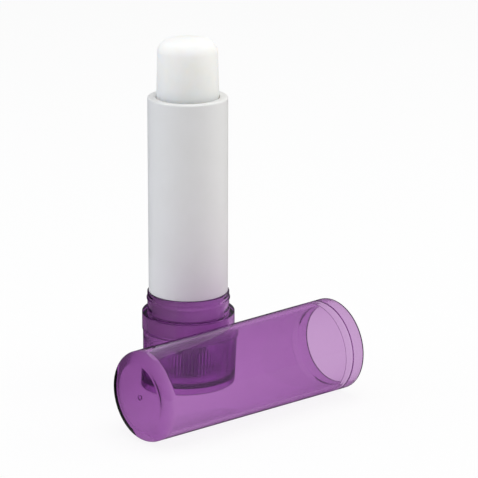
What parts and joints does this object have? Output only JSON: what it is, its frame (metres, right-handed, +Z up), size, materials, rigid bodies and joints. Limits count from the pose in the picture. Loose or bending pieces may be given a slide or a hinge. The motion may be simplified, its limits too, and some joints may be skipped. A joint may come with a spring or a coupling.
{
  "type": "lip balm stick",
  "caption": "Twist-up lip balm stick with a white barrel, part-raised balm and a clear purple knurled base, its clear purple cap lying beside it.",
  "frame": {"origin": "centre of the stick's foot, on the surface that it stands on", "axes": "+Z up along the stick's axis, +X along the lying cap towards its mouth; the cap is on the -Y side"},
  "size_m": [0.0503, 0.0393, 0.0727],
  "materials": {
    "white_barrel": "opaque, satin",
    "clear_purple": "clear tinted, polished",
    "white_mechanism": "opaque, satin",
    "balm_wax": "waxy, satin"
  },
  "bodies": {
    "stick": {"barrel_tube": "white_barrel", "base_collar": "clear_purple"},
    "knob": {"turning_knob": "clear_purple", "screw_spindle": "white_mechanism"},
    "balm": {"carrier_cup": "white_mechanism", "balm_stick": "balm_wax"},
    "loose_cap": {"cap": "clear_purple"}
  },
  "joints": [
    {"name": "knob_turn", "type": "hinge", "parent": "stick", "child": "knob", "pos_m": [0, 0, 0.006], "axis": [0, 0, 1], "range_deg": [-1161, 1296]},
    {"name": "balm_lift", "type": "slide", "parent": "stick", "child": "balm", "axis": [0, 0, 1], "range_m": [-0.01295, 0.01445]},
    {"name": "cap_lift", "type": "slide", "parent": "stick", "child": "loose_cap", "axis": [0, 0, 1], "range_m": [0, 0.09]}
  ],
  "couplings": [
    {"joint": "balm_lift", "follows": "knob_turn", "m_per_rad": 0.00063662}
  ]
}
